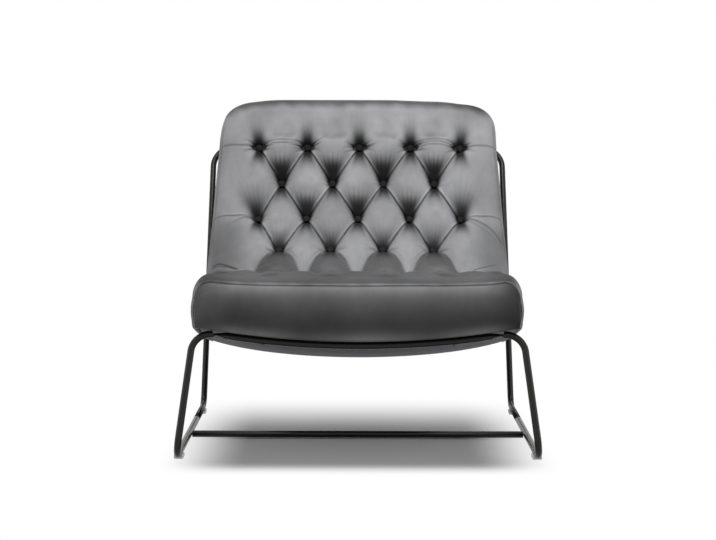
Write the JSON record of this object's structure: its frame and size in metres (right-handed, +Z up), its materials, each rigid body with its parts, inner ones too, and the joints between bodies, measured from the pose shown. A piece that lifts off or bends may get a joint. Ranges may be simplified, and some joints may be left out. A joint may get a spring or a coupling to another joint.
{
  "type": "slipper chair",
  "caption": "Wide armless lounge chair with a diamond-tufted velvet seat and leaning back on a bent round-tube steel sled frame.",
  "frame": {"origin": "floor level under the middle of the chair's bounding box", "axes": "+Z up, -Y towards the front where the sitter faces, +X towards the chair's right side in a front view"},
  "size_m": [0.8316, 0.8934, 0.8174],
  "materials": {
    "frame_paint": "satin black paint",
    "zinc_steel": "bright zinc plated",
    "glide": "translucent moulded plastic",
    "lining": "plain dark lining cloth",
    "velvet": "short-pile grey velvet",
    "plywood": "raw moulded plywood"
  },
  "bodies": {
    "root": {"front_hoop": "frame_paint", "rear_hoop": "frame_paint", "rear_cross_rail": "frame_paint", "floor_stretcher": "frame_paint", "runner_sleeve_left": "zinc_steel", "runner_sleeve_right": "zinc_steel", "glide_front_left": "glide", "glide_front_right": "glide", "glide_rear_left": "glide", "glide_rear_right": "glide", "outer_seat_panel": "lining", "seat_base_board": "plywood", "outer_back_panel": "velvet", "back_base_board": "plywood", "shell_corner_block": "plywood", "bolt_front_left": "zinc_steel", "tee_nut_front_left": "zinc_steel", "bolt_front_right": "zinc_steel", "tee_nut_front_right": "zinc_steel", "bolt_rear_left": "zinc_steel", "tee_nut_rear_left": "zinc_steel", "bolt_rear_right": "zinc_steel", "tee_nut_rear_right": "zinc_steel", "bolt_top_left": "zinc_steel", "tee_nut_top_left": "zinc_steel", "bolt_top_right": "zinc_steel", "tee_nut_top_right": "zinc_steel", "seat_cushion": "velvet", "back_cushion": "velvet", "tuft_button_seat_r6_1": "velvet", "tuft_button_seat_r6_2": "velvet", "tuft_button_seat_r6_3": "velvet", "tuft_button_seat_r6_4": "velvet", "tuft_button_seat_r7_1": "velvet", "tuft_button_seat_r7_2": "velvet", "tuft_button_seat_r7_3": "velvet", "tuft_button_seat_r7_4": "velvet", "tuft_button_seat_r7_5": "velvet", "tuft_button_seat_r8_1": "velvet", "tuft_button_seat_r8_2": "velvet", "tuft_button_seat_r8_3": "velvet", "tuft_button_seat_r8_4": "velvet", "tuft_button_back_r1_1": "velvet", "tuft_button_back_r1_2": "velvet", "tuft_button_back_r1_3": "velvet", "tuft_button_back_r1_4": "velvet", "tuft_button_back_r1_5": "velvet", "tuft_button_back_r2_1": "velvet", "tuft_button_back_r2_2": "velvet", "tuft_button_back_r2_3": "velvet", "tuft_button_back_r2_4": "velvet", "tuft_button_back_r3_1": "velvet", "tuft_button_back_r3_2": "velvet", "tuft_button_back_r3_3": "velvet", "tuft_button_back_r3_4": "velvet", "tuft_button_back_r3_5": "velvet", "tuft_button_back_r4_1": "velvet", "tuft_button_back_r4_2": "velvet", "tuft_button_back_r4_3": "velvet", "tuft_button_back_r4_4": "velvet"}
  },
  "joints": []
}
